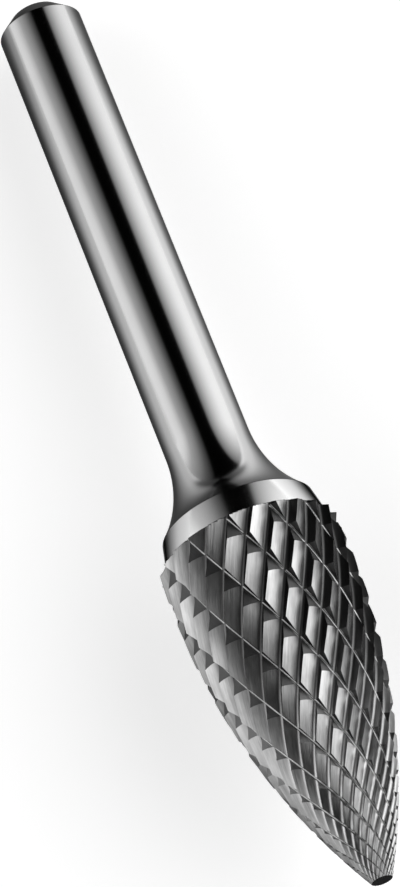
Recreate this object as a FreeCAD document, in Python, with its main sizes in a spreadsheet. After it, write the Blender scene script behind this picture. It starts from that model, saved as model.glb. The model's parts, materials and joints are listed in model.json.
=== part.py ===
import FreeCAD, Part
import math
import os
from bisect import bisect_right
from types import SimpleNamespace

import Sketcher

# Pointed tree-shape carbide burr with a double cut: a tungsten carbide head brazed to a steel shank.
# It lies as it rests on a bench: on the back ends of its two lowest crests and on the rim of the
# shank's end, with the tip towards +X. Lengths in millimetres, angles in degrees.
SIZES = [
    ("overall_length", 70.0, "tip flat to end of shank"),
    ("shank_diameter", 6.0, "ground shank, held in a collet"),
    ("end_chamfer", 1.2, "45 degree chamfer at the end of the shank"),
    ("neck_radius", 9.3, "radius of the hollow flare between shank and head"),
    ("joint_diameter", 10.8, "brazed joint between neck and head"),
    ("head_diameter", 12.7, "over the tooth crests"),
    ("tooth_length", 25.6, "tip flat to back of teeth"),
    ("belly_length", 3.1, "cylindrical part of the crests and their bevel, at the back"),
    ("back_bevel", 0.25, "length of the bevel that takes the back of the teeth down to their roots"),
    ("tip_diameter", 1.5, "flat ground on the point"),
    ("band_length", 1.9, "plain cone behind the teeth"),
    ("band_step", 0.05, "drop from the tooth roots to the edge of the cone"),
    ("tooth_depth", 0.5, "depth of flutes and chip breakers at full diameter"),
    ("flute_count", 24, "right-hand flutes"),
    ("flute_helix", 26.0, "angle of the flutes to the axis"),
    ("rake_angle", 25.0, "lean of the cutting faces"),
    ("gullet_width", 0.2, "flat bottom of a flute"),
    ("breaker_count", 12, "left-hand chip breaker grooves"),
    ("breaker_helix", 28.0, "angle of the chip breakers to the axis"),
    ("breaker_steep", 20.0, "lean of the steep wall of a chip breaker"),
    ("breaker_slope", 66.0, "lean of the sloping wall of a chip breaker"),
    ("breaker_start", 10.3, "turn from a crest to a chip breaker at the back of the teeth"),
]
ANGLES = ["flute_helix", "rake_angle", "breaker_helix", "breaker_steep", "breaker_slope", "breaker_start"]
OUTPUT_FOLDER = "parts"
PROFILE_STEPS = 4000
SEWING_TOLERANCE = 1e-5
SMALLEST_FACET = 1e-7
SAME_PLACE = 1e-6
FULL_TURN = 2 * math.pi
# Travel along the crest profile is counted from here, negative towards the tip.
BACK_OF_TEETH = 0.0


def make_sheet(doc):
    """Write the driving sizes into a spreadsheet, one alias to a row."""
    sheet = doc.addObject("Spreadsheet::Sheet", "sizes")
    for row, (alias, value, note) in enumerate(SIZES, start=1):
        sheet.set("A%d" % row, alias)
        sheet.set("B%d" % row, str(value))
        sheet.set("C%d" % row, note)
        sheet.setAlias("B%d" % row, alias)
    doc.recompute()
    return sheet


def read_sizes(sheet):
    """Return the sheet's values, with the angles in radians and the radii that several pieces share."""
    values = {alias: float(sheet.get(alias)) for alias, _, _ in SIZES}
    for alias in ANGLES:
        values[alias] = math.radians(values[alias])
    sizes = SimpleNamespace(**values)
    sizes.flute_count = round(sizes.flute_count)
    sizes.breaker_count = round(sizes.breaker_count)
    sizes.crest_radius = sizes.head_diameter / 2
    sizes.tip_radius = sizes.tip_diameter / 2
    sizes.shank_radius = sizes.shank_diameter / 2
    sizes.flute_pitch = FULL_TURN / sizes.flute_count
    sizes.breaker_pitch = FULL_TURN / sizes.breaker_count
    return sizes


# Crest profile

class CrestProfile:
    """Line that the tooth crests follow: an arc from the tip flat that runs tangent into a cylinder.

    A helix at a constant angle to the axis turns by tan(angle) times the travel along the profile,
    where travel is the integral of dz / radius. Travel is zero at the back of the teeth and
    negative towards the tip.
    """

    def __init__(self, sizes):
        self.crest_radius = sizes.crest_radius
        self.length = sizes.tooth_length
        self.arc_end = sizes.tooth_length - sizes.belly_length
        rise = sizes.crest_radius - sizes.tip_radius
        self.arc_radius = (rise ** 2 + self.arc_end ** 2) / (2 * rise)
        step = self.length / PROFILE_STEPS
        from_tip = [0.0]
        for index in range(PROFILE_STEPS):
            from_tip.append(from_tip[-1] + step / self.radius((index + 0.5) * step))
        self.travels = [travel - from_tip[-1] for travel in from_tip]
        self.tip_travel = self.travels[0]

    def radius(self, height):
        """Crest radius at a height above the tip flat."""
        if height >= self.arc_end:
            return self.crest_radius
        run = self.arc_end - height
        return self.crest_radius - self.arc_radius + math.sqrt(self.arc_radius ** 2 - run ** 2)

    def height(self, travel):
        """Height above the tip flat at a travel along the profile."""
        index = bisect_right(self.travels, travel) - 1
        index = min(max(index, 0), PROFILE_STEPS - 1)
        low, high = self.travels[index], self.travels[index + 1]
        return (index + (travel - low) / (high - low)) * self.length / PROFILE_STEPS


# Double cut teeth

class DoubleCut:
    """Teeth left between right-hand flutes and left-hand chip breakers cut to the same depth.

    Both cuts keep a constant angle to the axis, so in travel and turn they are straight and every
    tooth is the same skewed cell. Inside a cell, across runs from one crest (0) to the next (1),
    and along runs from one chip breaker (0) to the next (1). A node is (travel, turn, depth).
    The depth shrinks with the crest radius towards the tip, and runs out to the roots over the
    bevel at the back.
    """

    def __init__(self, sizes):
        self.sizes = sizes
        self.profile = CrestProfile(sizes)
        self.flute_lead = math.tan(sizes.flute_helix)
        self.breaker_lead = math.tan(sizes.breaker_helix)
        self.bevel_travel = BACK_OF_TEETH - sizes.back_bevel / sizes.crest_radius
        # Two crests straddle the lowest line of the head, at half a turn, where their bevel starts.
        self.crest_start = math.pi + sizes.flute_pitch / 2 - self.flute_lead * self.bevel_travel
        self.groove_start = self.crest_start + sizes.breaker_start
        flute_width = sizes.crest_radius * sizes.flute_pitch * math.cos(sizes.flute_helix)
        breaker_width = sizes.crest_radius * sizes.breaker_pitch * math.cos(sizes.breaker_helix)
        self.face_foot = 1 - sizes.tooth_depth * math.tan(sizes.rake_angle) / flute_width
        self.relief_foot = self.face_foot - sizes.gullet_width / flute_width
        self.steep_top = sizes.tooth_depth * math.tan(sizes.breaker_steep) / breaker_width
        self.slope_top = 1 - sizes.tooth_depth * math.tan(sizes.breaker_slope) / breaker_width
        self.crest_middle = (self.steep_top + self.slope_top) / 2

    def travel(self, across, along):
        """Travel of the point where the line across meets the line along."""
        turn_gap = (self.groove_start + self.sizes.breaker_pitch * along
                    - self.crest_start - self.sizes.flute_pitch * across)
        return turn_gap / (self.flute_lead + self.breaker_lead)

    def node(self, across, along, depth):
        """Node of the cell lattice, counted in whole and part flutes and grooves."""
        travel = self.travel(across, along)
        turn = self.crest_start + self.sizes.flute_pitch * across + self.flute_lead * travel
        return travel, turn, depth

    def groove_range(self, flute):
        """Numbers of the grooves that cross one flute between the tip and the back of the teeth."""
        travel_per_groove = self.travel(0, 1) - self.travel(0, 0)
        first = (self.profile.tip_travel - self.travel(flute, 0)) / travel_per_groove
        last = (BACK_OF_TEETH - self.travel(flute + 1, 0)) / travel_per_groove
        return range(math.floor(first) - 1, math.ceil(last) + 1)

    def cell_outlines(self):
        """Facets of a cell as lists of (across, along, depth), the same for every cell.

        The walls of the chip breakers are triangles, because the relief runs down to their floor.
        Relief, gullet and cutting face are each made of a lower and an upper half.
        """
        root = self.sizes.tooth_depth
        relief, face = self.relief_foot, self.face_foot
        middle = self.crest_middle
        steep_wall = [(face - 1, 0, root), (relief, 0, root), (0, self.steep_top, 0)]
        sloping_wall = [(relief, 1, root), (face - 1, 1, root), (0, self.slope_top, 0)]
        outlines = [steep_wall, sloping_wall]
        for (low, low_crest), (high, high_crest) in [
            ((0, self.steep_top), (middle, middle)),
            ((middle, middle), (1, self.slope_top)),
        ]:
            outlines += [
                [(0, low_crest, 0), (relief, low, root), (relief, high, root), (0, high_crest, 0)],
                [(relief, low, root), (face, low, root), (face, high, root), (relief, high, root)],
                [(face, low, root), (1, low_crest, 0), (1, high_crest, 0), (face, high, root)],
            ]
        return outlines

    def facets(self):
        """Yield every facet between the tip flat and the back of the teeth, as a list of nodes."""
        outlines = self.cell_outlines()
        for flute in range(self.sizes.flute_count):
            for groove in self.groove_range(flute):
                for outline in outlines:
                    nodes = [self.node(flute + across, groove + along, depth)
                             for across, along, depth in outline]
                    nodes = trim(nodes, BACK_OF_TEETH, 1)
                    nodes = trim(nodes, self.profile.tip_travel, -1)
                    for side in (1, -1):
                        part = trim(nodes, self.bevel_travel, side)
                        if part:
                            yield part

    def point(self, node):
        """Place of a node in space, with the axis along Z and the tip flat at zero."""
        travel, turn, depth = node
        height = self.profile.height(travel)
        run_out = max(0.0, 1 - (BACK_OF_TEETH - travel) / (BACK_OF_TEETH - self.bevel_travel))
        depth += (self.sizes.tooth_depth - depth) * run_out
        radius = self.profile.radius(height) * (1 - depth / self.sizes.crest_radius)
        return FreeCAD.Vector(radius * math.cos(turn), radius * math.sin(turn), height)


def sides(nodes):
    """Pairs of neighbouring nodes round a closed outline."""
    return zip(nodes[-1:] + nodes[:-1], nodes)


def trim(nodes, limit, side):
    """Cut an outline at a travel and keep what lies below it (side 1) or above it (side -1)."""
    kept = []
    for start, end in sides(nodes):
        start_room = side * (limit - start[0])
        end_room = side * (limit - end[0])
        if (start_room >= 0) != (end_room >= 0):
            share = (limit - start[0]) / (end[0] - start[0])
            turn = start[1] + share * (end[1] - start[1])
            depth = start[2] + share * (end[2] - start[2])
            kept.append((limit, turn, depth))
        if end_room >= 0:
            kept.append(end)
    return kept


def flat_triangles(points):
    """Split an outline into flat triangles that fan out from its first corner."""
    triangles = []
    for second, third in zip(points[1:-1], points[2:]):
        corners = [points[0], second, third]
        if (second - points[0]).cross(third - points[0]).Length > SMALLEST_FACET:
            triangles.append(Part.Face(Part.makePolygon(corners + corners[:1])))
    return triangles


def end_face(double_cut, edges):
    """Flat face that closes the teeth where the facets were cut off at one travel."""
    lines = []
    for start, end in edges:
        first, last = double_cut.point(start), double_cut.point(end)
        if (last - first).Length > SEWING_TOLERANCE:
            lines.append(Part.makeLine(first, last))
    return Part.Face(Part.Wire(Part.__sortEdges__(lines)))


def toothed_solid(sizes):
    """Solid with the ogive's teeth on it, closed by the tip flat and by the back of the teeth."""
    double_cut = DoubleCut(sizes)
    faces = []
    end_edges = {double_cut.profile.tip_travel: [], BACK_OF_TEETH: []}
    for nodes in double_cut.facets():
        faces += flat_triangles([double_cut.point(node) for node in nodes])
        for start, end in sides(nodes):
            if start[0] == end[0] and start[0] in end_edges:
                end_edges[start[0]].append((start, end))
    faces += [end_face(double_cut, edges) for edges in end_edges.values()]
    skin = Part.Compound(faces)
    skin.sewShape(SEWING_TOLERANCE)
    solid = Part.Solid(skin.Shells[0])
    if solid.Volume < 0:
        solid.reverse()
    return solid


def make_cutting_head(doc, sizes, placement):
    """Carbide head in one solid: the teeth and the plain cone that runs back to the braze."""
    teeth = doc.addObject("Part::Feature", "teeth")
    teeth.Shape = toothed_solid(sizes)

    band = doc.addObject("Part::Cone", "band")
    band.setExpression("Radius1", "sizes.head_diameter / 2 - sizes.tooth_depth - sizes.band_step")
    band.setExpression("Radius2", "sizes.joint_diameter / 2")
    band.setExpression("Height", "sizes.band_length")
    band.setExpression("Placement.Base.z", "sizes.tooth_length")

    head = doc.addObject("Part::Fuse", "cutting_head")
    head.Base = teeth
    head.Tool = band
    head.Refine = False
    head.Placement = placement
    return head


# Shank

def origin_feature(body, role):
    """Origin plane or axis of a body, found by its role."""
    for feature in body.Origin.OriginFeatures:
        if feature.Role == role:
            return feature
    raise LookupError(role)


def draw_shank_profile(body, sizes):
    """Half section of the shank: joint face, hollow flare, ground cylinder and end face."""
    joint_radius = sizes.joint_diameter / 2
    joint_height = sizes.tooth_length + sizes.band_length
    flare_centre = sizes.shank_radius + sizes.neck_radius
    flare_reach = math.sqrt(sizes.neck_radius ** 2 - (flare_centre - joint_radius) ** 2)
    neck_height = joint_height + flare_reach
    flare_turn = math.asin(flare_reach / sizes.neck_radius)

    joint_centre = FreeCAD.Vector(0, joint_height, 0)
    joint_rim = FreeCAD.Vector(joint_radius, joint_height, 0)
    neck_top = FreeCAD.Vector(sizes.shank_radius, neck_height, 0)
    end_rim = FreeCAD.Vector(sizes.shank_radius, sizes.overall_length, 0)
    end_centre = FreeCAD.Vector(0, sizes.overall_length, 0)
    sketch = body.newObject("Sketcher::SketchObject", "shank_profile")
    sketch.AttachmentSupport = (origin_feature(body, "XZ_Plane"), [""])
    sketch.MapMode = "FlatFace"

    flare_circle = Part.Circle(
        FreeCAD.Vector(flare_centre, neck_height, 0), FreeCAD.Vector(0, 0, 1), sizes.neck_radius)
    joint_face = sketch.addGeometry(Part.LineSegment(joint_centre, joint_rim), False)
    flare = sketch.addGeometry(Part.ArcOfCircle(flare_circle, math.pi, math.pi + flare_turn), False)
    side = sketch.addGeometry(Part.LineSegment(neck_top, end_rim), False)
    end = sketch.addGeometry(Part.LineSegment(end_rim, end_centre), False)
    axis = sketch.addGeometry(Part.LineSegment(end_centre, joint_centre), False)

    start_point, end_point = 1, 2
    origin, vertical_axis = -1, -2
    sketch.addConstraint([
        Sketcher.Constraint("Coincident", joint_face, end_point, flare, end_point),
        Sketcher.Constraint("Tangent", flare, start_point, side, start_point),
        Sketcher.Constraint("Coincident", side, end_point, end, start_point),
        Sketcher.Constraint("Coincident", end, end_point, axis, start_point),
        Sketcher.Constraint("Coincident", axis, end_point, joint_face, start_point),
        Sketcher.Constraint("PointOnObject", axis, start_point, vertical_axis),
        Sketcher.Constraint("PointOnObject", axis, end_point, vertical_axis),
        Sketcher.Constraint("Horizontal", joint_face),
        Sketcher.Constraint("Horizontal", end),
        Sketcher.Constraint("Vertical", side),
    ])
    from_origin = [
        ("joint_height", "DistanceY", joint_face, end_point, joint_height,
         "tooth_length + sizes.band_length"),
        ("joint_radius", "DistanceX", joint_face, end_point, joint_radius, "joint_diameter / 2"),
        ("end_height", "DistanceY", end, start_point, sizes.overall_length, "overall_length"),
        ("shank_radius", "DistanceX", end, start_point, sizes.shank_radius, "shank_diameter / 2"),
    ]
    for name, kind, line, point, value, expression in from_origin:
        index = sketch.addConstraint(Sketcher.Constraint(kind, origin, start_point, line, point, value))
        sketch.renameConstraint(index, name)
        sketch.setExpression("Constraints." + name, "sizes." + expression)
    index = sketch.addConstraint(Sketcher.Constraint("Radius", flare, sizes.neck_radius))
    sketch.renameConstraint(index, "neck_radius")
    sketch.setExpression("Constraints.neck_radius", "sizes.neck_radius")
    return sketch


def rim_at_height(shape, height):
    """Name of the round edge that lies at one height."""
    for index, edge in enumerate(shape.Edges, start=1):
        if isinstance(edge.Curve, Part.Circle) and abs(edge.Curve.Center.z - height) < SAME_PLACE:
            return "Edge%d" % index
    raise LookupError("no rim at %g" % height)


def make_shank(doc, sizes, placement):
    """Steel shank turned in one piece with its flared neck, chamfered at the free end."""
    body = doc.addObject("PartDesign::Body", "shank")
    sketch = draw_shank_profile(body, sizes)
    doc.recompute()

    turned = body.newObject("PartDesign::Revolution", "turned_blank")
    turned.Profile = sketch
    turned.ReferenceAxis = (sketch, ["V_Axis"])
    turned.Angle = 360
    doc.recompute()

    chamfer = body.newObject("PartDesign::Chamfer", "end_chamfer")
    chamfer.Base = (turned, [rim_at_height(turned.Shape, sizes.overall_length)])
    chamfer.setExpression("Size", "sizes.end_chamfer")
    body.Tip = chamfer
    body.Placement = placement
    return body


# Resting place

def resting_placement(sizes):
    """Lay the burr on a flat bench with the middle of its outline above the origin.

    The plane under it touches the back ends of the two lowest crests, where their bevel starts,
    and the lower edge of the chamfer at the shank's end, so the axis slopes down towards the shank.
    """
    crest_low = sizes.crest_radius * math.cos(sizes.flute_pitch / 2)
    crest_end = sizes.tooth_length - sizes.back_bevel
    chamfer_height = sizes.overall_length - sizes.end_chamfer
    slope = math.atan2(crest_low - sizes.shank_radius, chamfer_height - crest_end)
    lift = crest_low * math.cos(slope) + crest_end * math.sin(slope)
    end_radius = sizes.shank_radius - sizes.end_chamfer
    tip_reach = sizes.tip_radius * math.sin(slope)
    end_reach = sizes.overall_length * math.cos(slope) + end_radius * math.sin(slope)
    shift = (end_reach - tip_reach) / 2
    rotation = FreeCAD.Rotation(FreeCAD.Vector(0, 1, 0), -90 - math.degrees(slope))
    return FreeCAD.Placement(FreeCAD.Vector(shift, 0, lift), rotation)


def check_objects(doc, pieces):
    """Stop if any object failed or any piece isn't one valid solid."""
    for item in doc.Objects:
        if "Invalid" in item.State or "Error" in item.State:
            raise RuntimeError("%s: %s" % (item.Name, item.State))
    for piece in pieces:
        shape = piece.Shape
        if shape.isNull() or not shape.isValid() or len(shape.Solids) != 1:
            raise RuntimeError("%s is not one valid solid" % piece.Label)


def main():
    """Build the burr and write one STEP file for each piece."""
    doc = FreeCAD.newDocument("carbide_burr")
    sizes = read_sizes(make_sheet(doc))
    placement = resting_placement(sizes)
    pieces = [
        make_shank(doc, sizes, placement),
        make_cutting_head(doc, sizes, placement),
    ]
    doc.recompute()
    check_objects(doc, pieces)
    os.makedirs(OUTPUT_FOLDER, exist_ok=True)
    for piece in pieces:
        piece.Shape.exportStep(os.path.join(OUTPUT_FOLDER, piece.Label + ".step"))
        print("%s: %d faces, volume %.1f mm3" % (piece.Label, len(piece.Shape.Faces), piece.Shape.Volume))


main()
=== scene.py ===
"""Carbide burr lying on a pale studio floor, seen from above its point.

The head is a pointed tree shape with a double cut: right-hand flutes crossed by left-hand chip
breakers. The shank is a plain ground cylinder that flares up to the head. Sizes are in millimetres
and angles in degrees until a mesh, a material or the camera is made.
"""

import json
import logging
import math
from bisect import bisect_right
from collections.abc import Iterable, Sequence
from dataclasses import dataclass
from enum import Enum
from typing import Any

import bmesh
import bpy
from mathutils import Matrix, Vector


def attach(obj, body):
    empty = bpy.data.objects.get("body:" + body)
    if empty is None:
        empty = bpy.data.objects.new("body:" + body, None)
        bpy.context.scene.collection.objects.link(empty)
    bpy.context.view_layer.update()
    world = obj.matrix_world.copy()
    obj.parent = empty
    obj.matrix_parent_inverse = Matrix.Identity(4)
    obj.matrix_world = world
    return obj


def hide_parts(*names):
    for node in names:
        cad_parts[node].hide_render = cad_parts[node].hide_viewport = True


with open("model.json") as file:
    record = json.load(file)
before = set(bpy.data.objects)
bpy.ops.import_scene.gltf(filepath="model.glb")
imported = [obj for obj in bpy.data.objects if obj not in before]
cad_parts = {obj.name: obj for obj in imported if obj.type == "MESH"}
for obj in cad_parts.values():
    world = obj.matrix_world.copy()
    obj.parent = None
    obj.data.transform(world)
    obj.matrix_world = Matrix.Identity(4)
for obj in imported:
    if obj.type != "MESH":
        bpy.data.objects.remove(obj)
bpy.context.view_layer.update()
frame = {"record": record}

log = logging.getLogger("burr")

MM = 0.001
BODY = "root"
HEAD_NODE = "cutting_head"
SHANK_NODE = "shank"
FULL_TURN = 2 * math.pi

# Travel at the back of the teeth, and turn from the burr's top line to the line that faces the lens
BACK_OF_TEETH = 0.0
LENS_TURN = -4.3

# Distances within which points are joined, in the flat lattice and in millimetres
LATTICE_MERGE = 1e-6
SEAM_MERGE = 1e-4

# Angles from which an edge stays crisp, within one finish and between two
CRISP_EDGE = 30.0
CRISP_BORDER = 12.0

# Map of flutes across and breakers along, and the scales of the noise in it
CUT_MAP = "cut"
FLUTE_LINES = (10.0, 0.8, 1.0)
BREAKER_LINES = (0.8, 30.0, 1.0)
CUT_PATCHES = (3.0, 2.0, 1.0)

# Levels of noise between which a finish goes from its darkest to its brightest
MOTTLE_LOW = 0.3
MOTTLE_HIGH = 0.7

Point = tuple[float, float]
Section = Sequence[Point]


class Region(Enum):
    """Ground regions of the head, each with a finish of its own; the breaker walls are darker as painted
    shade.
    """

    FLUTE = 0
    SLOPING_WALL = 1
    BREAKER_FLOOR = 2
    STEEP_WALL = 3
    BAND = 4
    TIP = 5


# Nodes written as expressions

class Signal:
    """One output of a shader node, so that sums on values read as sums."""

    def __init__(self, nodes: "Nodes", socket: bpy.types.NodeSocket | None) -> None:
        """Keep the node tree and the socket, which an output node lacks."""
        self.nodes = nodes
        self.socket = socket

    def _math(self, operation: str, *terms: Any) -> "Signal":
        """Add a Math node on these terms."""
        return self.nodes.add("ShaderNodeMath", {"operation": operation}, dict(enumerate(terms)))

    def __add__(self, other: Any) -> "Signal":
        """Sum."""
        return self._math("ADD", self, other)

    __radd__ = __add__

    def __sub__(self, other: Any) -> "Signal":
        """Difference."""
        return self._math("SUBTRACT", self, other)

    def __rsub__(self, other: Any) -> "Signal":
        """Difference from a number."""
        return self._math("SUBTRACT", other, self)

    def __mul__(self, other: Any) -> "Signal":
        """Product."""
        return self._math("MULTIPLY", self, other)

    __rmul__ = __mul__

    def __truediv__(self, other: Any) -> "Signal":
        """Quotient."""
        return self._math("DIVIDE", self, other)

    def __abs__(self) -> "Signal":
        """Size without the sign."""
        return self._math("ABSOLUTE", self)

    def at_most(self, other: Any) -> "Signal":
        """The smaller of two values."""
        return self._math("MINIMUM", self, other)

    def at_least(self, other: Any) -> "Signal":
        """The larger of two values."""
        return self._math("MAXIMUM", self, other)

    def fraction(self) -> "Signal":
        """Part after the decimal point."""
        return self._math("FRACT", self)

    def smooth(self, start: float, end: float) -> "Signal":
        """Rise smoothly from 0 at start to 1 at end."""
        settings = {"interpolation_type": "SMOOTHSTEP"}
        return self.nodes.add("ShaderNodeMapRange", settings, {"Value": self, 1: start, 2: end})


class Nodes:
    """Writer of one shader node tree."""

    def __init__(self, tree: bpy.types.NodeTree) -> None:
        """Empty the tree.

        Args:
            tree: Node tree of a material or a world.
        """
        self.tree = tree
        tree.nodes.clear()

    def add(
        self,
        kind: str,
        settings: dict[str, Any] | None = None,
        inputs: dict[int | str, Any] | None = None,
        output: int | str = 0,
    ) -> Signal:
        """Add a node, set it and link it.

        Args:
            kind: Type of the node.
            settings: Properties of the node, and the stops of a ramp.
            inputs: Value or signal for each input, by its name or number.
            output: Output that the returned signal reads.

        Returns:
            The chosen output.
        """
        node = self.tree.nodes.new(kind)
        for name, value in (settings or {}).items():
            if name == "stops":
                self._set_stops(node.color_ramp, value)
            else:
                setattr(node, name, value)
        for key, value in (inputs or {}).items():
            socket = node.inputs[key]
            if isinstance(value, Signal):
                self.tree.links.new(value.socket, socket)
            else:
                socket.default_value = value
        return Signal(self, node.outputs[output] if node.outputs else None)

    @staticmethod
    def _set_stops(ramp: bpy.types.ColorRamp, stops: Sequence[tuple[float, float]]) -> None:
        """Give a ramp its grey stops.

        Args:
            ramp: Ramp of a Color Ramp node.
            stops: Place and grey level of each stop, in rising order.
        """
        while len(ramp.elements) > 1:
            ramp.elements.remove(ramp.elements[-1])
        for index, (place, level) in enumerate(stops):
            element = ramp.elements[0] if index == 0 else ramp.elements.new(place)
            element.position = place
            element.color = (level, level, level, 1.0)

    def vector(self, operation: str, *terms: Any, output: int | str = 0) -> Signal:
        """Add a Vector Math node on these terms."""
        return self.add("ShaderNodeVectorMath", {"operation": operation}, dict(enumerate(terms)), output)

    def dot(self, first: Any, second: Any) -> Signal:
        """Dot product of two vectors."""
        return self.vector("DOT_PRODUCT", first, second, output="Value")

    def combine(self, x: Any, y: Any, z: Any) -> Signal:
        """Vector of three values."""
        return self.add("ShaderNodeCombineXYZ", {}, {0: x, 1: y, 2: z})

    def noise(self, vector: Signal, scale: float, detail: float, roughness: float = 0.5) -> Signal:
        """Value of a noise texture, about 0 to 1."""
        return self.add("ShaderNodeTexNoise", {"noise_dimensions": "3D"},
                        {"Vector": vector, "Scale": scale, "Detail": detail, "Roughness": roughness})

    def blend(self, share: Any, first: Any, second: Any) -> Signal:
        """Mix two colours."""
        return self.add("ShaderNodeMix", {"data_type": "RGBA"}, {0: share, 6: first, 7: second}, output=2)

    def bump(self, height: Signal, depth: float) -> Signal:
        """Normal bent by a height, of which 1 stands for this depth in metres."""
        return self.add("ShaderNodeBump", {}, {"Height": height, "Distance": depth})


def grey(level: float) -> tuple[float, float, float, float]:
    """Neutral colour of one level."""
    return (level, level, level, 1.0)


# Place of the burr

@dataclass(frozen=True)
class BurrSizes:
    """Driving sizes of the burr, in millimetres and degrees, as in the solids."""

    overall_length: float = 70.0
    shank_diameter: float = 6.0
    end_chamfer: float = 1.2
    neck_radius: float = 9.3
    joint_diameter: float = 10.8
    head_diameter: float = 12.7
    tooth_length: float = 25.6
    belly_length: float = 3.1
    back_bevel: float = 0.25
    tip_diameter: float = 1.5
    band_length: float = 1.9
    band_step: float = 0.05
    tooth_depth: float = 0.5
    flute_count: int = 24
    flute_helix: float = 26.0
    rake_angle: float = 25.0
    breaker_count: int = 12
    breaker_helix: float = 28.0
    breaker_steep: float = 20.0
    breaker_slope: float = 66.0
    breaker_start: float = 10.3

    @property
    def crest_radius(self) -> float:
        """Radius over the crests at the belly."""
        return self.head_diameter / 2

    @property
    def shank_radius(self) -> float:
        """Radius of the ground cylinder."""
        return self.shank_diameter / 2

    @property
    def joint_height(self) -> float:
        """Distance from the tip flat to the braze."""
        return self.tooth_length + self.band_length


@dataclass(frozen=True)
class BurrAxis:
    """Axis of the burr as it lies: origin at the tip flat's centre, heights towards the shank."""

    tip: Vector
    along: Vector
    top: Vector
    side: Vector

    @classmethod
    def from_frame(cls, record: dict[str, Any], sizes: BurrSizes) -> "BurrAxis":
        """Find the axis from the shank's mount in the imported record.

        Args:
            record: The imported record.
            sizes: Sizes of the burr.

        Returns:
            The axis.
        """
        mount = next(item for item in record["mounts"] if item["name"] == "shank")
        along = Vector(mount["axis"]).normalized()
        middle = sizes.overall_length - sizes.end_chamfer - mount["dims"]["length_mm"] / 2
        side = Vector((0, 1, 0))
        return cls(Vector(mount["pos_m"]) - along * middle * MM, along, side.cross(along), side)

    def matrix(self) -> Matrix:
        """Turn millimetres round the axis, with the top line along X, into the row frame."""
        turn = Matrix((self.top, self.side, self.along)).transposed().to_4x4()
        return Matrix.Translation(self.tip) @ turn @ Matrix.Scale(MM, 4)

    def turned(self, degrees: float) -> tuple[Vector, Vector]:
        """Find the outward directions at a turn from the top line.

        Args:
            degrees: The turn.

        Returns:
            The direction at that turn, and the one a quarter turn further.
        """
        turn = math.radians(degrees)
        first = math.cos(turn) * self.top + math.sin(turn) * self.side
        return first, self.along.cross(first)


# Finishes

@dataclass(frozen=True)
class MetalFinish:
    """Ground metal, bright where it faces the eye and darker, as painted shade, just short of a grazing
    angle.
    """

    name: str
    colour: float
    roughness: float

    def start(self) -> tuple[bpy.types.Material, Nodes]:
        """Make an empty node material.

        Returns:
            The material and the writer of its nodes.
        """
        material = bpy.data.materials.new(self.name)
        material.use_nodes = True
        return material, Nodes(material.node_tree)

    def shade(self, nodes: Nodes, colour: Any, roughness: Any, normal: Signal | None,
              edge_tint: float = 0.0) -> None:
        """Add the metal shader and the output.

        Args:
            nodes: Tree of the material.
            colour: Base colour.
            roughness: Roughness.
            normal: Bent normal, if there is one.
            edge_tint: Share of the colour that is left just short of a grazing angle, where the loss is
                painted shade.
        """
        # A low Specular Tint paints shade just short of a grazing angle.
        inputs = {"Base Color": colour, "Roughness": roughness, "Metallic": 1.0,
                  "Specular Tint": grey(edge_tint)}
        if normal is not None:
            inputs["Normal"] = normal
        metal = nodes.add("ShaderNodeBsdfPrincipled", {}, inputs)
        nodes.add("ShaderNodeOutputMaterial", {}, {"Surface": metal})


@dataclass(frozen=True)
class RingFinish(MetalFinish):
    """Metal ground or turned round an axis, which leaves fine rings."""

    edge_tint: float = 0.0
    ring_pitch: float = 0.05
    ring_depth: float = 0.0004
    patch_size: float = 3.0
    mottle: float = 0.06

    def make(self, axis: BurrAxis) -> bpy.types.Material:
        """Make the material.

        Args:
            axis: Axis that the rings run round.

        Returns:
            The material.
        """
        material, nodes = self.start()
        place = nodes.add("ShaderNodeTexCoord", output="Object")
        height = nodes.dot(place, axis.along)
        rings = nodes.noise(nodes.combine(height, 0.0, 0.0), 1 / (self.ring_pitch * MM),
                            detail=3.0, roughness=0.7)
        patches = nodes.noise(place, 1 / (self.patch_size * MM), detail=3.0)
        share = (rings * 0.5 + patches * 0.5).smooth(MOTTLE_LOW, MOTTLE_HIGH)
        colour = nodes.blend(share, grey(self.colour * (1 - self.mottle)), grey(self.colour))
        roughness = self.roughness * (1 + self.mottle * (rings - 0.5))
        normal = nodes.bump(rings, self.ring_depth * MM)
        self.shade(nodes, colour, roughness, normal, self.edge_tint)
        return material


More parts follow.
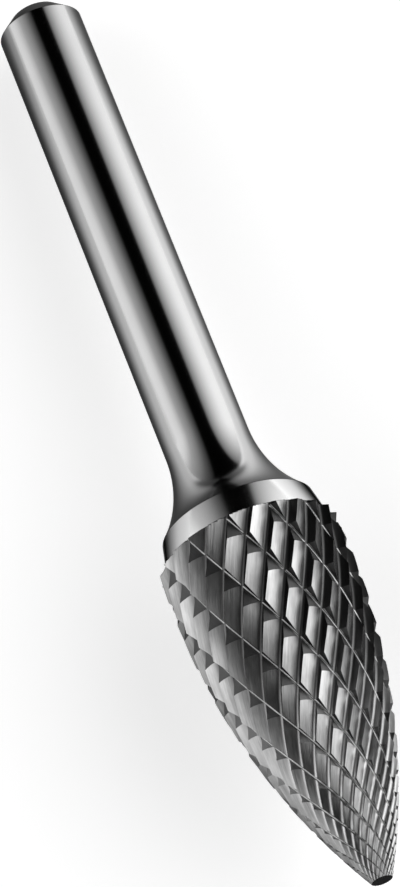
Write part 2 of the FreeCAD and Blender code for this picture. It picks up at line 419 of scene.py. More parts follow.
@dataclass(frozen=True)
class CutFinish(MetalFinish):
    """Carbide ground along one of the two cuts, which leaves scratches that run with it.

    At the belly it can grow rougher across a flute, and darker there as painted shade of the gullet and
    face. Near the tip the start of the flute can be darker than its gullet instead, as painted shade.
    """

    lines: tuple[float, float, float] = FLUTE_LINES
    line_depth: float = 0.016
    mottle: float = 0.5
    tooth_share: float = 0.2
    gloss_spread: float = 0.2
    painted_shade_colour: float = 0.03
    dull_roughness: float = 0.42
    shade_across_start: float = 0.05
    shade_across_end: float = 0.98
    tip_look_height: float = 4.0
    belly_look_height: float = 17.0
    tip_painted_shade: float = 0.0
    tip_start: float = 0.35
    tip_end: float = 0.6

    def make(self, axis: BurrAxis | None = None) -> bpy.types.Material:
        """Make the material.

        Args:
            axis: Axis of the burr, where the look changes across the flutes and along the burr.

        Returns:
            The material.
        """
        material, nodes = self.start()
        place = nodes.add("ShaderNodeUVMap", {"uv_map": CUT_MAP})
        scratches = nodes.noise(nodes.vector("MULTIPLY", place, self.lines), 1.0,
                                detail=5.0, roughness=0.7)
        patches = nodes.noise(nodes.vector("MULTIPLY", place, CUT_PATCHES), 1.0, detail=3.0)
        tooth = nodes.add("ShaderNodeTexWhiteNoise", {"noise_dimensions": "2D"},
                          {"Vector": nodes.vector("FLOOR", place)})
        noise_share = (1 - self.tooth_share) / 2
        level = scratches * noise_share + patches * noise_share + tooth * self.tooth_share
        share = level.smooth(MOTTLE_LOW, MOTTLE_HIGH)
        colour = nodes.blend(share, grey(self.colour * (1 - self.mottle)), grey(self.colour))
        roughness = self.roughness
        if axis is not None:
            across = nodes.dot(place, (1.0, 0.0, 0.0)).fraction()
            belly = self._belly(nodes, axis)
            # Painted shade: darker towards the gullet and face at the belly, with real roughening as well.
            shade_and_rough = across.smooth(self.shade_across_start, self.shade_across_end) * belly
            colour = nodes.blend(shade_and_rough, colour, grey(self.painted_shade_colour))
            roughness = self.roughness + (self.dull_roughness - self.roughness) * shade_and_rough
            # Painted shade on the start of the flute near the tip.
            tip_shade_share = (1 - across.smooth(self.tip_start, self.tip_end)) * (1 - belly)
            colour = nodes.blend(tip_shade_share * self.tip_painted_shade, colour, grey(0.0))
        spread = self.gloss_spread
        roughness = (1 - spread + spread * scratches + spread * patches) * roughness
        normal = nodes.bump(scratches, self.line_depth * MM)
        self.shade(nodes, colour, roughness, normal)
        return material

    def _belly(self, nodes: Nodes, axis: BurrAxis) -> Signal:
        """Find the share of the belly's look, which fades out towards the tip.

        Args:
            nodes: Tree of the material.
            axis: Axis of the burr.

        Returns:
            The share, from 0 at the tip to 1 at the belly.
        """
        point = nodes.add("ShaderNodeTexCoord", output="Object")
        height = nodes.dot(nodes.vector("SUBTRACT", point, axis.tip), axis.along)
        return height.smooth(self.tip_look_height * MM, self.belly_look_height * MM)


@dataclass(frozen=True)
class DarkSpeckleFinish(MetalFinish):
    """Dull dark carbide on the point's flat, with a fine speckle."""

    grain: float = 0.1
    grain_depth: float = 0.004
    contrast: float = 0.3
    gloss_spread: float = 0.2

    def make(self) -> bpy.types.Material:
        """Make the material.

        Returns:
            The material.
        """
        material, nodes = self.start()
        place = nodes.add("ShaderNodeTexCoord", output="Object")
        speckle = nodes.noise(place, 1 / (self.grain * MM), detail=4.0, roughness=0.6)
        colour = nodes.blend(speckle, grey(self.colour * (1 - self.contrast)),
                             grey(self.colour * (1 + self.contrast)))
        roughness = self.roughness * (1 - self.gloss_spread + 2 * self.gloss_spread * speckle)
        self.shade(nodes, colour, roughness, nodes.bump(speckle, self.grain_depth * MM))
        return material


# Meshes

def make_piece(name: str, shape: bmesh.types.BMesh,
               materials: Iterable[bpy.types.Material]) -> bpy.types.Object:
    """Turn a mesh into a smooth shaded piece that rides with the burr.

    An edge stays crisp where it turns more than CRISP_EDGE, or than CRISP_BORDER between finishes.

    Args:
        name: Name of the piece.
        shape: The mesh, in metres, which is freed.
        materials: Its materials, in slot order.

    Returns:
        The piece.
    """
    for face in shape.faces:
        face.smooth = True
    for edge in shape.edges:
        finishes = {face.material_index for face in edge.link_faces}
        limit = CRISP_EDGE if len(finishes) == 1 else CRISP_BORDER
        edge.smooth = edge.calc_face_angle(0.0) < math.radians(limit)
    mesh = bpy.data.meshes.new(name)
    shape.to_mesh(mesh)
    shape.free()
    for material in materials:
        mesh.materials.append(material)
    piece = bpy.data.objects.new(name, mesh)
    bpy.context.scene.collection.objects.link(piece)
    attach(piece, BODY)
    return piece


def spin_line(shape: bmesh.types.BMesh, line: Section, segments: int) -> list[bmesh.types.BMFace]:
    """Turn a half section round the axis.

    Args:
        shape: Mesh that gets the faces.
        line: Half section, as (height, radius).
        segments: Number of steps round the axis.

    Returns:
        The new faces.
    """
    known = set(shape.faces)
    start = [shape.verts.new((radius, 0, height)) for height, radius in line]
    edges = [shape.edges.new(pair) for pair in zip(start, start[1:])]
    bmesh.ops.spin(shape, geom=[*start, *edges], axis=(0, 0, 1), cent=(0, 0, 0),
                   angle=FULL_TURN, steps=segments, use_merge=True)
    spun = [face for face in shape.faces if face not in known]
    points = {vert for face in spun for vert in face.verts}
    bmesh.ops.remove_doubles(shape, verts=list(points), dist=SEAM_MERGE)
    return [face for face in shape.faces if face not in known]


def rounded_corner(before: Point, corner: Point, after: Point, radius: float, steps: int) -> list[Point]:
    """Points of the arc that rounds one corner of a section.

    Args:
        before: Point before the corner.
        corner: The corner.
        after: Point after the corner.
        radius: Radius of the arc.
        steps: Number of chords.

    Returns:
        The arc's points, from one tangent point to the other.
    """
    corner_at = Vector(corner)
    back = (Vector(before) - corner_at).normalized()
    forth = (Vector(after) - corner_at).normalized()
    half = back.angle(forth) / 2
    centre = corner_at + (back + forth).normalized() * radius / math.sin(half)
    start = corner_at + back * radius / math.tan(half) - centre
    end = corner_at + forth * radius / math.tan(half) - centre
    turn = start.angle_signed(end)
    points = []
    for step in range(steps + 1):
        spun = centre + Matrix.Rotation(-turn * step / steps, 2) @ start
        points.append((spun.x, spun.y))
    return points


# Cutting head

class Ogive:
    """Line that the tooth crests follow: an arc from the tip flat that runs into a cylinder.

    Travel adds up the steps of height, each divided by the crest radius there, so a helix of
    constant angle is a straight line in travel and turn.
    """

    def __init__(self, sizes: BurrSizes, steps: int = 4000) -> None:
        """Add up the travel along the profile.

        Args:
            sizes: Sizes of the burr.
            steps: Steps of the sum.
        """
        self.steps = steps
        self.crest_radius = sizes.crest_radius
        self.length = sizes.tooth_length
        self.arc_end = sizes.tooth_length - sizes.belly_length
        rise = sizes.crest_radius - sizes.tip_diameter / 2
        self.arc_radius = (rise ** 2 + self.arc_end ** 2) / (2 * rise)
        step = self.length / steps
        from_tip = [0.0]
        for index in range(steps):
            from_tip.append(from_tip[-1] + step / self.radius((index + 0.5) * step))
        self.travels = [travel - from_tip[-1] for travel in from_tip]
        self.tip_travel = self.travels[0]

    def radius(self, height: float) -> float:
        """Find the crest radius.

        Args:
            height: Height above the tip flat.

        Returns:
            The radius there.
        """
        if height >= self.arc_end:
            return self.crest_radius
        run = self.arc_end - height
        return self.crest_radius - self.arc_radius + math.sqrt(self.arc_radius ** 2 - run ** 2)

    def height(self, travel: float) -> float:
        """Find where a travel is reached.

        Args:
            travel: Travel, which counts from the back of the teeth.

        Returns:
            The height above the tip flat.
        """
        index = min(max(bisect_right(self.travels, travel) - 1, 0), self.steps - 1)
        low, high = self.travels[index], self.travels[index + 1]
        return (index + (travel - low) / (high - low)) * self.length / self.steps


@dataclass
class DoubleCut:
    """Sections of the flutes and chip breakers, and the lattice of teeth that they leave.

    A lattice point is (travel, turn, depth), where both cuts are straight lines. Sections are lists
    of (distance across the cut, depth) at the belly, and shrink with the crest radius.
    """

    sizes: BurrSizes
    relief_angle: float = 31.0
    gullet_round: float = 0.24
    gullet_room: float = 0.98
    breaker_depth: float = 0.585
    breaker_round: float = 0.13
    breaker_room: float = 0.45
    breaker_lean: float = 0.7
    breaker_fade: float = 0.75
    relief_steps: int = 5
    gullet_steps: int = 9
    floor_steps: int = 8
    tooth_steps: int = 6
    bevel_steps: int = 3
    section_count: int = 20

    def __post_init__(self) -> None:
        """Work out what both cuts share."""
        sizes = self.sizes
        flute_helix = math.radians(sizes.flute_helix)
        breaker_helix = math.radians(sizes.breaker_helix)
        self.ogive = Ogive(sizes)
        self.flute_pitch = FULL_TURN / sizes.flute_count
        self.breaker_pitch = FULL_TURN / sizes.breaker_count
        self.flute_lead = math.tan(flute_helix)
        self.breaker_lead = math.tan(breaker_helix)
        self.bevel_travel = BACK_OF_TEETH - sizes.back_bevel / sizes.crest_radius
        self.crest_start = math.pi + self.flute_pitch / 2 - self.flute_lead * self.bevel_travel
        self.groove_start = self.crest_start + math.radians(sizes.breaker_start)
        self.flute_width = sizes.crest_radius * self.flute_pitch * math.cos(flute_helix)
        self.breaker_width = sizes.crest_radius * self.breaker_pitch * math.cos(breaker_helix)
        scales = [max(index, 1) / self.section_count for index in range(self.section_count + 1)]
        self.flutes = [self._flute_section(scale) for scale in scales]
        self.breakers = [self._breaker_section(scale) for scale in scales]
        self.middle = len(self.breakers[0]) // 2

    def _flute_section(self, scale: float) -> Section:
        """Section of a flute from the start of the relief to the next crest.

        The relief is ground flat, so in this unrolled section it sags a little between its ends.
        It is steeper than the solid's, and a round gullet takes the place of the solid's flat
        floor. The gullet is as round at the tip as at the belly, as far as the face leaves room.

        Args:
            scale: Crest radius as a share of the one at the belly.

        Returns:
            The section at the size that it has at the belly.
        """
        sizes = self.sizes
        rake = math.tan(math.radians(sizes.rake_angle))
        relief = 1 / math.tan(math.radians(self.relief_angle))
        corner_depth = self.flute_width / (relief + rake)
        corner = (corner_depth * relief, corner_depth)
        crest, next_crest = (0.0, 0.0), (self.flute_width, 0.0)
        half_corner = math.radians(180 - self.relief_angle - (90 - sizes.rake_angle)) / 2
        largest = self.gullet_room * math.dist(corner, next_crest) * math.tan(half_corner)
        radius = min(self.gullet_round / scale, largest)
        gullet = rounded_corner(crest, corner, next_crest, radius, self.gullet_steps)
        run, fall = gullet[0]
        flat = []
        for step in range(self.relief_steps):
            place = run * step / self.relief_steps
            sag = place * (run - place) / (2 * sizes.crest_radius)
            flat.append((place, fall * place / run + sag))
        return flat + gullet + [next_crest]

    def _breaker_section(self, scale: float) -> Section:
        """Section of a chip breaker from its sloping lip to its steep lip.

        Straight walls run from the lips to a round floor, a little below the solid's, whose
        centre leans towards the sloping lip. The breaker narrows towards the tip, where its floor
        keeps its radius as far as there is room.

        Args:
            scale: Crest radius as a share of the one at the belly.

        Returns:
            The section at the size that it has at the belly.
        """
        sizes = self.sizes
        reach = sizes.tooth_depth * scale ** self.breaker_fade
        slope_lip = (-reach * math.tan(math.radians(sizes.breaker_slope)), 0.0)
        steep_lip = (reach * math.tan(math.radians(sizes.breaker_steep)), 0.0)
        radius = min(self.breaker_round / scale, self.breaker_room * (steep_lip[0] - slope_lip[0]))
        centre = (-self.breaker_lean * radius, self.breaker_depth - radius)
        ends = []
        for lip in (slope_lip, steep_lip):
            away = abs(centre[0] - lip[0])
            ends.append(math.atan2(centre[1], away) + math.asin(radius / math.hypot(centre[1], away)))
        floor = []
        for step in range(self.floor_steps + 1):
            turn = -ends[0] + (ends[0] + ends[1]) * step / self.floor_steps
            floor.append((centre[0] + radius * math.sin(turn), centre[1] + radius * math.cos(turn)))
        return [slope_lip] + floor + [steep_lip]

    @staticmethod
    def _lip(wall: Section, depth: float) -> float:
        """Find where a wall has a depth.

        Args:
            wall: The wall, from its lip down to the middle of the floor.
            depth: The depth.

        Returns:
            The distance across the breaker.
        """
        for (place, level), (next_place, next_level) in zip(wall, wall[1:]):
            if level <= depth < next_level:
                return place + (next_place - place) * (depth - level) / (next_level - level)
        return wall[-1][0]

    def rows(self, start: float, end: float, depth: float, next_depth: float) -> Section:
        """Rows of a column of a cell, as (share along, depth).

        Args:
            start: Travel where the column crosses the breaker.
            end: Travel where it crosses the next breaker.
            depth: Depth of the flute at the first crossing.
            next_depth: Depth of the flute at the second.

        Returns:
            Rows from the middle of one breaker to the middle of the next.
        """
        steep = self._blended(self.breakers, start)[self.middle:]
        slope = self._blended(self.breakers, end)[:self.middle + 1]
        steep_lip = self._lip(steep[::-1], depth)
        slope_lip = self._lip(slope, next_depth)
        low = steep_lip / self.breaker_width
        high = 1 + slope_lip / self.breaker_width
        below = [(min(place, steep_lip) / self.breaker_width, max(level, depth)) for place, level in steep]
        above = [(1 + max(place, slope_lip) / self.breaker_width, max(level, next_depth))
                 for place, level in slope]
        shares = [step / self.tooth_steps for step in range(1, self.tooth_steps)]
        crest = [(low + (high - low) * share, depth + (next_depth - depth) * share) for share in shares]
        return below + crest + above

    def travel(self, across: float, along: float) -> float:
        """Find the point where a line of the flutes meets a line of the breakers.

        Args:
            across: Whole and part flutes.
            along: Whole and part breakers.

        Returns:
            Its travel.
        """
        gap = (self.groove_start + self.breaker_pitch * along
               - self.crest_start - self.flute_pitch * across)
        return gap / (self.flute_lead + self.breaker_lead)

    def _blended(self, sections: Sequence[Section], travel: float) -> Section:
        """Blend the two sections that are nearest in scale.

        Args:
            sections: Sections of a cut, in rising order of scale.
            travel: Travel where the section is wanted.

        Returns:
            The section there.
        """
        place = self.ogive.radius(self.ogive.height(travel)) / self.sizes.crest_radius * self.section_count
        index = min(int(place), self.section_count - 1)
        part = place - index
        return [(across + (next_across - across) * part, depth + (next_depth - depth) * part)
                for (across, depth), (next_across, next_depth) in zip(sections[index], sections[index + 1])]

    def lattice_point(self, across: float, along: float, depth: float) -> Vector:
        """Find a point of the lattice.

        Args:
            across: Whole and part flutes.
            along: Whole and part breakers.
            depth: Depth below the crest.

        Returns:
            The point.
        """
        travel = self.travel(across, along)
        turn = self.crest_start + self.flute_pitch * across + self.flute_lead * travel
        return Vector((travel, turn, depth))

    def cell_columns(self, flute: int, groove: int) -> list[list[Vector]]:
        """List the lattice points of one tooth, its flute and the breaker below it.

        Args:
            flute: Number of the flute.
            groove: Number of the breaker.

        Returns:
            Columns of points, each from one breaker's floor to the next one's.
        """
        columns = []
        last = len(self.flutes[0]) - 1
        for column in range(last + 1):
            start = self.travel(flute + column / last, groove)
            end = self.travel(flute + column / last, groove + 1)
            run, depth = self._blended(self.flutes, start)[column]
            next_run, next_depth = self._blended(self.flutes, end)[column]
            columns.append([
                self.lattice_point(flute + (run + (next_run - run) * along) / self.flute_width,
                                   groove + along, level)
                for along, level in self.rows(start, end, depth, next_depth)])
        return columns

    def region(self, row: int) -> Region:
        """Find the region of the faces between two rows of a cell.

        Args:
            row: Number of the first row.

        Returns:
            The region.
        """
        steep_row = len(self.breakers[0]) - self.middle - 2
        slope_row = steep_row + self.tooth_steps + 1
        if row == steep_row:
            return Region.STEEP_WALL
        if row == slope_row:
            return Region.SLOPING_WALL
        return Region.FLUTE if steep_row < row < slope_row else Region.BREAKER_FLOOR

    def groove_range(self, flute: int) -> range:
        """Find the breakers that cross one flute between the tip and the back of the teeth.

        Args:
            flute: Number of the flute.

        Returns:
            Their numbers.
        """
        per_groove = self.travel(0, 1) - self.travel(0, 0)
        first = (self.ogive.tip_travel - self.travel(flute, 0)) / per_groove
        last = (BACK_OF_TEETH - self.travel(flute + 1, 0)) / per_groove
        return range(math.floor(first) - 1, math.ceil(last) + 1)

    def cut_place(self, point: Vector) -> tuple[float, float]:
        """Find the place of a lattice point in the map of the cut, for the grinding lines.

        Args:
            point: The point.

        Returns:
            Flutes across and breakers along.
        """
        across = (point.y - self.crest_start - self.flute_lead * point.x) / self.flute_pitch
        along = (point.y - self.groove_start + self.breaker_lead * point.x) / self.breaker_pitch
        return across, along

    def wrapped(self, point: Vector) -> Vector:
        """Wrap a lattice point round the axis, with the bevel at the back of the teeth.

        Args:
            point: The point.

        Returns:
            Its place in millimetres.
        """
        height = self.ogive.height(point.x)
        run_out = max(0.0, 1 - (BACK_OF_TEETH - point.x) / (BACK_OF_TEETH - self.bevel_travel))
        depth = max(point.z, self.sizes.tooth_depth * run_out)
        radius = self.ogive.radius(height) * (1 - depth / self.sizes.crest_radius)
        return Vector((radius * math.cos(point.y), radius * math.sin(point.y), height))

    def make_shape(self) -> bmesh.types.BMesh:
        """Make the skin of the teeth.

        Returns:
            The skin in millimetres round the axis, open at both ends.
        """
        shape = bmesh.new()
        for flute in range(self.sizes.flute_count):
            for groove in self.groove_range(flute):
                columns = [[shape.verts.new(point) for point in column]
                           for column in self.cell_columns(flute, groove)]
                for left, right in zip(columns, columns[1:]):
                    for row in range(len(left) - 1):
                        face = shape.faces.new((left[row], right[row], right[row + 1], left[row + 1]))
                        face.material_index = self.region(row).value
        self._cut(shape, BACK_OF_TEETH, clear_outer=True)
        self._cut(shape, self.ogive.tip_travel, clear_inner=True)
        for step in range(1, self.bevel_steps + 1):
            self._cut(shape, BACK_OF_TEETH + (self.bevel_travel - BACK_OF_TEETH) * step / self.bevel_steps)
        bmesh.ops.remove_doubles(shape, verts=shape.verts, dist=LATTICE_MERGE)
        bmesh.ops.dissolve_degenerate(shape, edges=shape.edges, dist=LATTICE_MERGE)
        cut_map = shape.loops.layers.uv.new(CUT_MAP)
        for face in shape.faces:
            for loop in face.loops:
                loop[cut_map].uv = self.cut_place(loop.vert.co)
        for vert in shape.verts:
            vert.co = self.wrapped(vert.co)
        bmesh.ops.remove_doubles(shape, verts=shape.verts, dist=SEAM_MERGE)
        return shape

    @staticmethod
    def _cut(shape: bmesh.types.BMesh, travel: float, clear_outer: bool = False,
             clear_inner: bool = False) -> None:
        """Cut the flat lattice.

        Args:
            shape: The lattice.
            travel: Travel of the cut.
            clear_outer: Whether what lies beyond it is cleared.
            clear_inner: Whether what lies before it is cleared.
        """
        bmesh.ops.bisect_plane(
            shape, geom=[*shape.verts, *shape.edges, *shape.faces], dist=LATTICE_MERGE,
            plane_co=(travel, 0, 0), plane_no=(1, 0, 0),
            clear_outer=clear_outer, clear_inner=clear_inner)


@dataclass
class CuttingHead:
    """Carbide head: double-cut teeth, a plain cone behind them and a small flat on the point."""

    sizes: BurrSizes
    axis: BurrAxis
    segments: int = 192
    edge_round: float = 0.06
    edge_steps: int = 3

    def build(self) -> bpy.types.Object:
        """Make the head and put it in place of its plain solid.

        Returns:
            The head.
        """
        sizes = self.sizes
        shape = DoubleCut(sizes).make_shape()
        ends = [edge for edge in shape.edges if edge.is_boundary]
        back = [edge for edge in ends if edge.verts[0].co.z > sizes.tooth_length / 2]
        point = [edge for edge in ends if edge.verts[0].co.z < sizes.tooth_length / 2]
        self._close(shape, back, sizes.tooth_length, Region.STEEP_WALL)
        self._close(shape, point, 0.0, Region.TIP)
        for face in spin_line(shape, self._band_line(), self.segments):
            face.material_index = Region.BAND.value
        bmesh.ops.recalc_face_normals(shape, faces=shape.faces)
        shape.transform(self.axis.matrix())
        head = make_piece("cutting_head_ground", shape, self._finishes())
        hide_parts(HEAD_NODE)
        return head

    def _band_line(self) -> Section:
        """Draw the plain cone behind the teeth, with its last edge rounded.

        Returns:
            Its half section, as (height, radius).
        """
        sizes = self.sizes
        start = (sizes.tooth_length, sizes.crest_radius - sizes.tooth_depth - sizes.band_step)
        corner = (sizes.joint_height, sizes.joint_diameter / 2)
        rim = rounded_corner(start, corner, (corner[0], 0.0), self.edge_round, self.edge_steps)
        return [(start[0], 0.0), start, *rim, (corner[0], 0.0)]

    def _finishes(self) -> list[bpy.types.Material]:
        """Make the materials of the head.

        The sloping wall lies past the end of the rise of its painted shade all the way across, so its look
        changes only from the tip to the belly.

        Returns:
            The materials in the order of the regions.
        """
        flute = CutFinish("carbide_ground_flute", colour=0.62, roughness=0.31, tip_painted_shade=0.45)
        # Painted shade: the breaker walls are much darker than the flutes.
        sloping_wall = CutFinish(
            "carbide_ground_sloping_wall", colour=0.3, roughness=0.48, lines=BREAKER_LINES,
            line_depth=0.014, mottle=0.4, painted_shade_colour=0.11, dull_roughness=0.48,
            shade_across_start=-1.0, shade_across_end=-0.5)
        breaker_floor = CutFinish(
            "carbide_ground_breaker_floor", colour=0.42, roughness=0.24, lines=BREAKER_LINES)
        steep_wall = CutFinish(
            "carbide_ground_steep_wall", colour=0.11, roughness=0.42, lines=BREAKER_LINES,
            line_depth=0.014, mottle=0.4)
        band = RingFinish("carbide_ground_band", colour=0.6, roughness=0.14)
        tip = DarkSpeckleFinish("carbide_dark_tip_flat", colour=0.1, roughness=0.4)
        return [flute.make(self.axis), sloping_wall.make(self.axis), breaker_floor.make(),
                steep_wall.make(), band.make(self.axis), tip.make()]

    @staticmethod
    def _close(shape: bmesh.types.BMesh, edges: list[bmesh.types.BMEdge], height: float,
               region: Region) -> None:
        """Close a loop of edges with triangles that meet on the axis.

        Args:
            shape: Mesh that gets the triangles.
            edges: The loop.
            height: Height where they meet.
            region: Region that they belong to.
        """
        centre = shape.verts.new((0, 0, height))
        for edge in edges:
            face = shape.faces.new((*edge.verts, centre))
            face.material_index = region.value


# Shank

@dataclass
class Shank:
    """Steel shank turned with its flared neck, and ground."""

    sizes: BurrSizes
    axis: BurrAxis
    segments: int = 192
    flare_steps: int = 28
    edge_round: float = 0.08
    edge_steps: int = 3

    def build(self) -> bpy.types.Object:
        """Make the shank and put it in place of its plain solid.

        Returns:
            The shank.
        """
        shape = bmesh.new()
        spin_line(shape, self._outline(), self.segments)
        bmesh.ops.recalc_face_normals(shape, faces=shape.faces)
        shape.transform(self.axis.matrix())
        # Its edge tint paints some shade just short of a grazing angle.
        finish = RingFinish("steel_ground_shank", colour=0.42, roughness=0.12, edge_tint=0.45)
        shank = make_piece("shank_ground", shape, [finish.make(self.axis)])
        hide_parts(SHANK_NODE)
        return shank

    def _outline(self) -> Section:
        """Draw the shank from the joint face to the end face.

        Returns:
            Its half section, as (height, radius).
        """
        sizes = self.sizes
        joint_radius = sizes.joint_diameter / 2
        flare_centre = sizes.shank_radius + sizes.neck_radius
        reach = math.sqrt(sizes.neck_radius ** 2 - (flare_centre - joint_radius) ** 2)
        neck_height = sizes.joint_height + reach
        flare_turn = math.asin(reach / sizes.neck_radius)
        flare = []
        for step in range(self.flare_steps + 1):
            turn = flare_turn * (1 - step / self.flare_steps)
            flare.append((neck_height - sizes.neck_radius * math.sin(turn),
                          flare_centre - sizes.neck_radius * math.cos(turn)))
        chamfer_start = (sizes.overall_length - sizes.end_chamfer, sizes.shank_radius)
        chamfer_end = (sizes.overall_length, sizes.shank_radius - sizes.end_chamfer)
        rim = rounded_corner(flare[-1], chamfer_start, chamfer_end, self.edge_round, self.edge_steps)
        end = rounded_corner(chamfer_start, chamfer_end, (sizes.overall_length, 0.0),
                             self.edge_round, self.edge_steps)
        return [(sizes.joint_height, 0.0), *flare, *rim, *end, (sizes.overall_length, 0.0)]


# Studio

@dataclass(frozen=True)
class Studio:
    """Two walls of soft light beside the burr with a dark gap between them, over a pale floor.

    The walls run along the burr. Their levels are shares of the peak, each at the sideways part of
    a direction, from -1 straight to the left of the line that faces the lens to 1 straight to its
    right.
    """

    axis: BurrAxis
    gap_turn: float = LENS_TURN
    peak: float = 2.15
    walls: Section = (
        (-1.0, 0.56), (-0.9, 0.6), (-0.85, 0.8), (-0.74, 0.7), (-0.58, 0.37), (-0.25, 0.09),
        (-0.08, 0.0), (0.37, 0.0), (0.42, 0.16), (0.48, 0.27), (0.58, 0.43), (0.74, 0.73),
        (0.85, 0.96), (0.9, 1.0), (1.0, 1.0),
    )

    # Floor as the lens sees it
    floor_colour: float = 0.85
    floor_reach: float = 3000.0
    fibre_size: float = 8.0
    fibre_loss: float = 0.015
    floor_glow: float = 0.57

    # Floor in the metal: glow of its two strips, and the shade between them
    left_glow: float = 0.55
    right_glow: float = 1.1
    shade_start: float = 4.0
    shade_end: float = 26.0
    head_shade: float = 2.2
    right_narrowing: float = 0.15
    neck_start: float = 30.0
    neck_end: float = 34.0

    # Floor in the metal: beyond the shank, close beside it, and far aside
    far_start: float = 60.0
    far_end: float = 120.0
    far_loss: float = 0.72
    far_gloom: float = 0.85
    near_start: float = 5.0
    near_end: float = 14.0
    near_gloom: float = 0.6
    near_right_loss: float = 0.4
    aside_start: float = 0.3
    aside_end: float = 0.5
    open_gain: float = 0.3
    open_reach: float = 150.0

    def build(self) -> None:
        """Make the lights and the floor."""
        self._light()
        self._floor()

    def _light(self) -> None:
        """Give the world the level of the lights in each direction."""
        world = bpy.data.worlds.new("studio_light")
        bpy.context.scene.world = world
        world.use_nodes = True
        nodes = Nodes(world.node_tree)
        away = nodes.add("ShaderNodeTexCoord", output="Generated")
        sideways = nodes.dot(away, self.axis.turned(self.gap_turn)[1])
        stops = [((place + 1) / 2, level) for place, level in self.walls]
        level = nodes.add("ShaderNodeValToRGB", {"stops": stops}, {0: sideways / 2 + 0.5})
        light = nodes.add("ShaderNodeBackground", {}, {"Color": level, "Strength": self.peak})
        nodes.add("ShaderNodeOutputWorld", {}, {"Surface": light})

    def _floor(self) -> None:
        """Lay a plain pale floor."""
        reach = self.floor_reach * MM
        corners = [(-reach, -reach, 0), (reach, -reach, 0), (reach, reach, 0), (-reach, reach, 0)]
        mesh = bpy.data.meshes.new("floor")
        mesh.from_pydata(corners, [], [(0, 1, 2, 3)])
        floor = bpy.data.objects.new("floor", mesh)
        bpy.context.scene.collection.objects.link(floor)
        mesh.materials.append(self._paper())

    def _paper(self) -> bpy.types.Material:
        """Make the floor's pale paper, with one glow for the lens and another for the metal.

        Returns:
            The material.
        """
        material = bpy.data.materials.new("floor_paper")
        material.use_nodes = True
        nodes = Nodes(material.node_tree)
        place = nodes.add("ShaderNodeTexCoord", output="Object")
        fibre = nodes.noise(place, 1 / (self.fibre_size * MM), detail=3.0)
        colour = nodes.blend(fibre, grey(self.floor_colour * (1 - self.fibre_loss)),
                             grey(self.floor_colour))
        gloom, glow = self._mirrored_floor(nodes, place)
        camera = nodes.add("ShaderNodeLightPath", output="Is Camera Ray")
        glossy = nodes.add("ShaderNodeLightPath", output="Is Glossy Ray")
        through = nodes.add("ShaderNodeLightPath", output="Is Transmission Ray")
        mirrored = (glossy + through).at_most(1.0)
        paper = nodes.add("ShaderNodeBsdfPrincipled", {}, {
            "Base Color": nodes.blend(mirrored * gloom, colour, grey(0.0)), "Roughness": 1.0,
            "Specular IOR Level": 0.0,
            "Emission Color": camera * self.floor_glow + mirrored * glow, "Emission Strength": 1.0})
        nodes.add("ShaderNodeOutputMaterial", {}, {"Surface": paper})
        return material

    def _mirrored_floor(self, nodes: Nodes, place: Signal) -> tuple[Signal, Signal]:
        """Work out how the metal sees the floor, which lights nothing else.

        The shade of the burr lies between two lit strips, and is wider beside the head than beside
        the shank. Beyond the shank it spreads with the distance, and the paper is darker there and
        close beside the shank. What lies far aside keeps its light, and gains some further out.

        Args:
            nodes: Tree of the floor's material.
            place: Place on the floor.

        Returns:
            The share of the paper's own colour that is lost, and the level that is added.
        """
        across = nodes.dot(place, self.axis.side)
        from_tip = nodes.dot(nodes.vector("SUBTRACT", place, self.axis.tip), self.axis.along)
        neck = from_tip.smooth(self.neck_start * MM, self.neck_end * MM)
        right = across.smooth(-self.shade_start * MM, self.shade_start * MM)
        width = self.head_shade + (1 - self.head_shade) * neck
        slope = abs(across) / from_tip.at_least(self.far_start * MM)
        aside = slope.smooth(self.aside_start, self.aside_end)
        spread = 1 + ((from_tip / (self.far_start * MM)).at_least(1.0) - 1) * (1 - aside)
        from_middle = abs(across) / (width * spread * (1 - self.right_narrowing * right))
        lit = from_middle.smooth(self.shade_start * MM, self.shade_end * MM)
        far = from_tip.smooth(self.far_start * MM, self.far_end * MM) * (1 - aside)
        near = (1 - abs(across).smooth(self.near_start * MM, self.near_end * MM)) * neck
        near_gloom = self.near_gloom * (1 - self.near_right_loss * right)
        open_floor = abs(across).smooth(self.shade_end * MM, self.open_reach * MM)
        glow = self.left_glow + (self.right_glow - self.left_glow) * right
        added = lit * glow * (1 - self.far_loss * far) * (1 + self.open_gain * open_floor)
        return (self.far_gloom * far + near_gloom * near).at_most(1.0), added


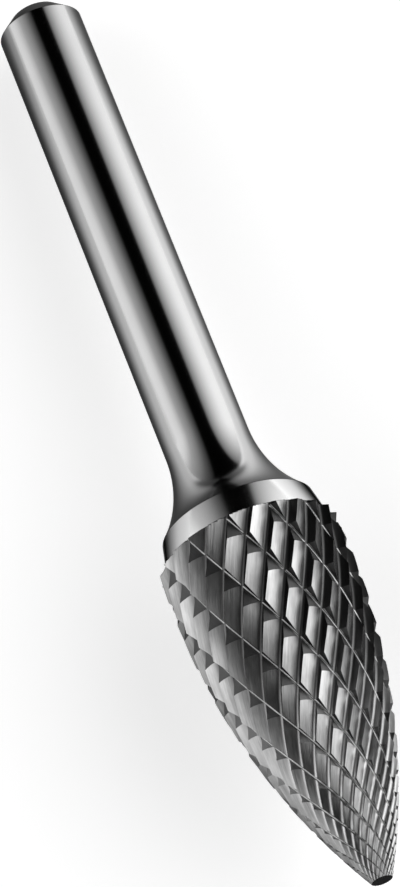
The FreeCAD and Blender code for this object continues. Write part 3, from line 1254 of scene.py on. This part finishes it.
@dataclass(frozen=True)
class PhotoCamera:
    """Camera that sees the burr as the photograph does.

    The burr leans left in the picture and runs away from the lens towards its shank.
    """

    axis: BurrAxis
    image_width: int = 400
    image_height: int = 887
    sensor: float = 36.0
    focal_pixels: float = 4910.0
    tip_column: float = 382.23
    tip_row: float = 880.51
    tip_distance: float = 317.85
    lean: float = 21.84
    recede: float = 25.70
    top_turn: float = LENS_TURN
    clip_start: float = 10.0

    def build(self) -> None:
        """Place the camera and make it the scene's."""
        lean, recede = math.radians(self.lean), math.radians(self.recede)
        tip = Vector(((self.tip_column - self.image_width / 2) / self.focal_pixels,
                      (self.tip_row - self.image_height / 2) / self.focal_pixels, 1.0))
        tip *= self.tip_distance * MM
        along = Vector((-math.sin(lean) * math.cos(recede), -math.cos(lean) * math.cos(recede),
                        math.sin(recede)))
        facing = (tip.dot(along) * along - tip).normalized()
        seen = Matrix((facing, along.cross(facing), along)).transposed()
        top, side = self.axis.turned(self.top_turn)
        real = Matrix((top, side, self.axis.along)).transposed()
        turn = real @ seen.transposed()
        place = self.axis.tip - turn @ tip
        right, down, ahead = turn.col
        rotation = Matrix((right, -down, -ahead)).transposed()
        data = bpy.data.cameras.new("photo_camera")
        data.sensor_width = self.sensor
        data.lens = self.focal_pixels * self.sensor / self.image_height
        data.clip_start = self.clip_start * MM
        camera = bpy.data.objects.new("photo_camera", data)
        camera.matrix_world = Matrix.Translation(place) @ rotation.to_4x4()
        bpy.context.scene.collection.objects.link(camera)
        bpy.context.scene.camera = camera


def main() -> None:
    """Build the burr, the studio and the camera."""
    logging.basicConfig(level=logging.INFO, format="%(name)s: %(message)s")
    bpy.context.scene.view_settings.view_transform = "Standard"
    sizes = BurrSizes()
    axis = BurrAxis.from_frame(frame["record"], sizes)
    PhotoCamera(axis).build()
    Studio(axis).build()
    for maker in (Shank(sizes, axis), CuttingHead(sizes, axis)):
        piece = maker.build()
        mesh = piece.data
        log.info("%s: %d vertices, %d faces", piece.name, len(mesh.vertices), len(mesh.polygons))


if __name__ == "__main__":
    main()
